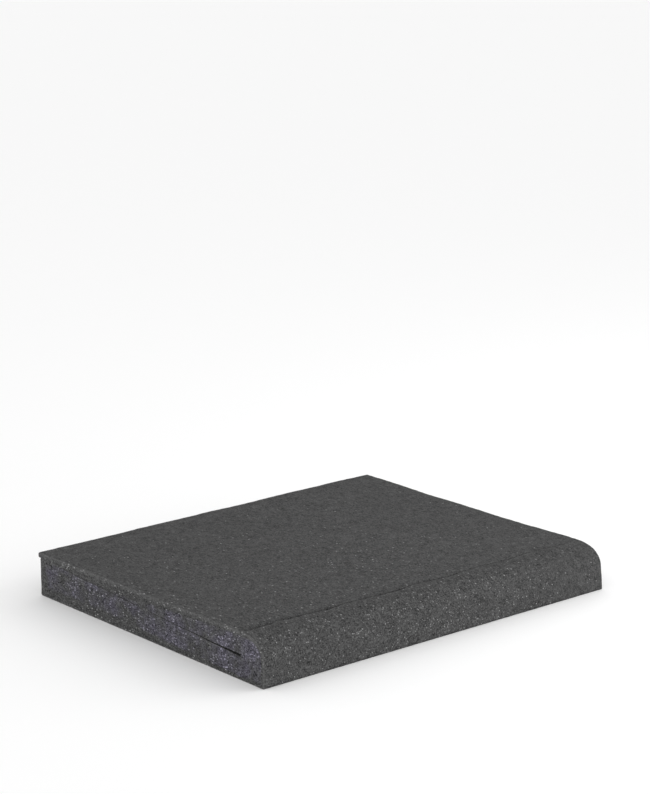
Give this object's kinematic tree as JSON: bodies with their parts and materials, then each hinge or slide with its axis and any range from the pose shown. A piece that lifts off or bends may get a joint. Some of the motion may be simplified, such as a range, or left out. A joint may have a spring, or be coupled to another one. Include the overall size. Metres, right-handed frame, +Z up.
{
  "type": "speaker isolation pad",
  "caption": "Rectangular charcoal foam isolation pad with a rounded front lip and a loose wedge insert that levels its sloping seat.",
  "frame": {"origin": "on the table, under the middle of the pad's outer box (the wedge's overhang at the back counted in)", "axes": "+X to the right along the front lip, +Y to the back, +Z up through the level top"},
  "size_m": [0.394, 0.3319, 0.04],
  "materials": {
    "base_foam": "matte cut open-cell polyurethane foam, charcoal grey",
    "wedge_foam": "matte cut open-cell polyurethane foam, charcoal grey"
  },
  "bodies": {
    "root": {"base": "base_foam", "wedge_insert": "wedge_foam"}
  },
  "joints": []
}
